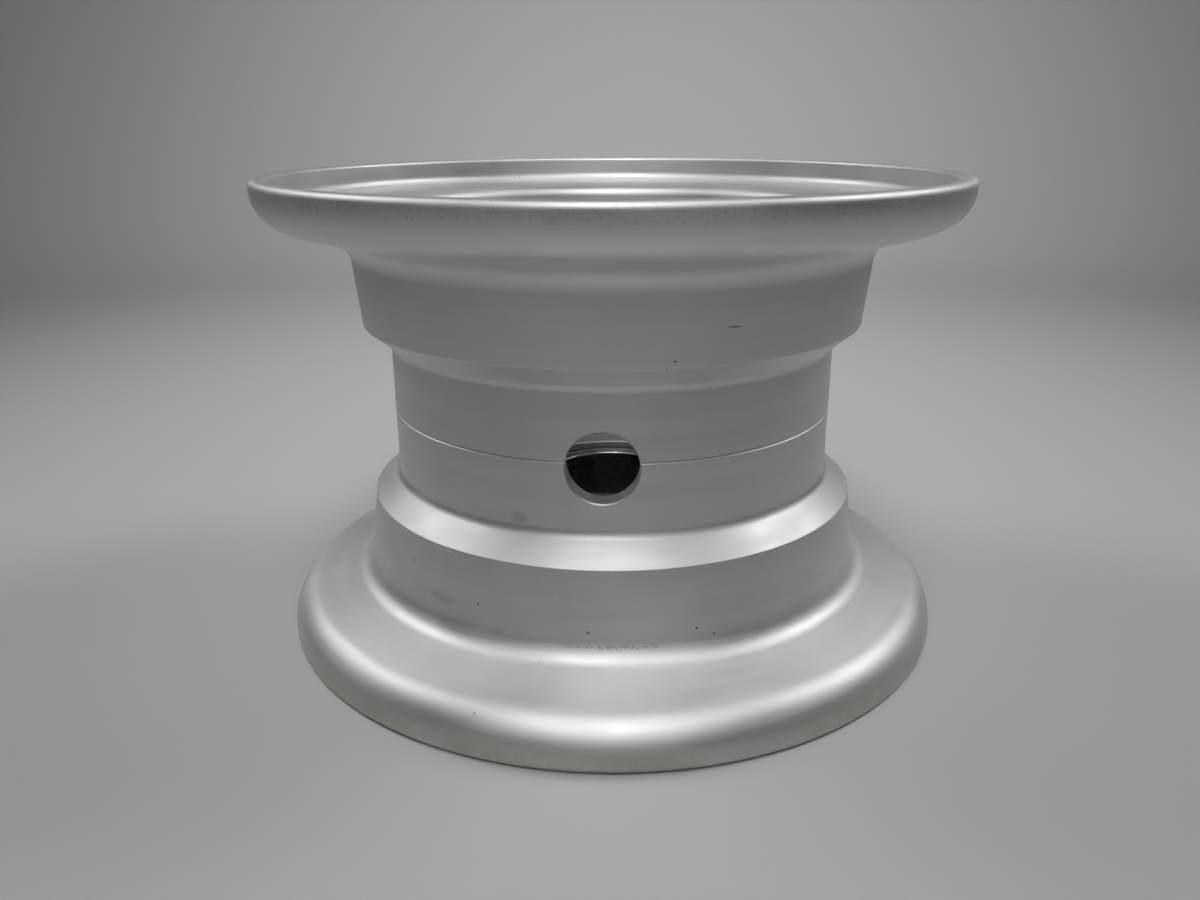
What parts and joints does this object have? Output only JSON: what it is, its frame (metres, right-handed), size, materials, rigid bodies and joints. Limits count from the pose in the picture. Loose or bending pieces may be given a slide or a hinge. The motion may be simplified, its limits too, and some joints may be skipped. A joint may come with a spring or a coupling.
{
  "type": "aircraft wheel",
  "caption": "Split drop-centre aircraft wheel with tapered bead seats, rolled flanges, a valve hole at the joint and sealed taper roller bearings for an axle.",
  "frame": {"origin": "on the wheel's axis, at the inboard lip that it stands on", "axes": "+Z along the axis from the inboard flange to the outboard one, and the valve hole faces -Y"},
  "size_m": [0.168, 0.168, 0.1112],
  "materials": {
    "rim_alloy": "satin, fine turned, lightly marked",
    "bearing_steel": "ground",
    "cage_steel": "pressed",
    "seal_steel": "pressed, satin",
    "felt": "oiled felt",
    "spring_steel": "phosphated",
    "plated_steel": "plated, satin"
  },
  "bodies": {
    "root": {"outboard_rim_half": "rim_alloy", "outboard_bearing_cup": "bearing_steel", "outboard_inner_seal_ring": "seal_steel", "outboard_outer_seal_ring": "seal_steel", "outboard_felt_seal": "felt", "outboard_snap_ring": "spring_steel", "inboard_rim_half": "rim_alloy", "inboard_bearing_cup": "bearing_steel", "inboard_inner_seal_ring": "seal_steel", "inboard_outer_seal_ring": "seal_steel", "inboard_felt_seal": "felt", "inboard_snap_ring": "spring_steel", "tie_bolts": "plated_steel", "tie_bolt_nuts": "plated_steel", "head_washers": "plated_steel", "nut_washers": "plated_steel"},
    "outboard_cone": {"outboard_bearing_cone": "bearing_steel"},
    "outboard_roller_set": {"outboard_bearing_cage": "cage_steel", "outboard_bearing_rollers": "bearing_steel"},
    "inboard_cone": {"inboard_bearing_cone": "bearing_steel"},
    "inboard_roller_set": {"inboard_bearing_cage": "cage_steel", "inboard_bearing_rollers": "bearing_steel"}
  },
  "joints": [
    {"name": "outboard_cone_spin", "type": "hinge", "parent": "root", "child": "outboard_cone", "pos_m": [0, 0, 0.08494], "axis": [0, 0, 1], "continuous": true},
    {"name": "outboard_roller_set_spin", "type": "hinge", "parent": "root", "child": "outboard_roller_set", "pos_m": [0, 0, 0.08494], "axis": [0, 0, 1], "continuous": true},
    {"name": "inboard_cone_spin", "type": "hinge", "parent": "root", "child": "inboard_cone", "pos_m": [0, 0, 0.02626], "axis": [0, 0, 1], "continuous": true},
    {"name": "inboard_roller_set_spin", "type": "hinge", "parent": "root", "child": "inboard_roller_set", "pos_m": [0, 0, 0.02626], "axis": [0, 0, 1], "continuous": true}
  ],
  "couplings": [
    {"joint": "outboard_roller_set_spin", "follows": "outboard_cone_spin", "ratio": 0.43513},
    {"joint": "inboard_roller_set_spin", "follows": "inboard_cone_spin", "ratio": 0.43513}
  ]
}
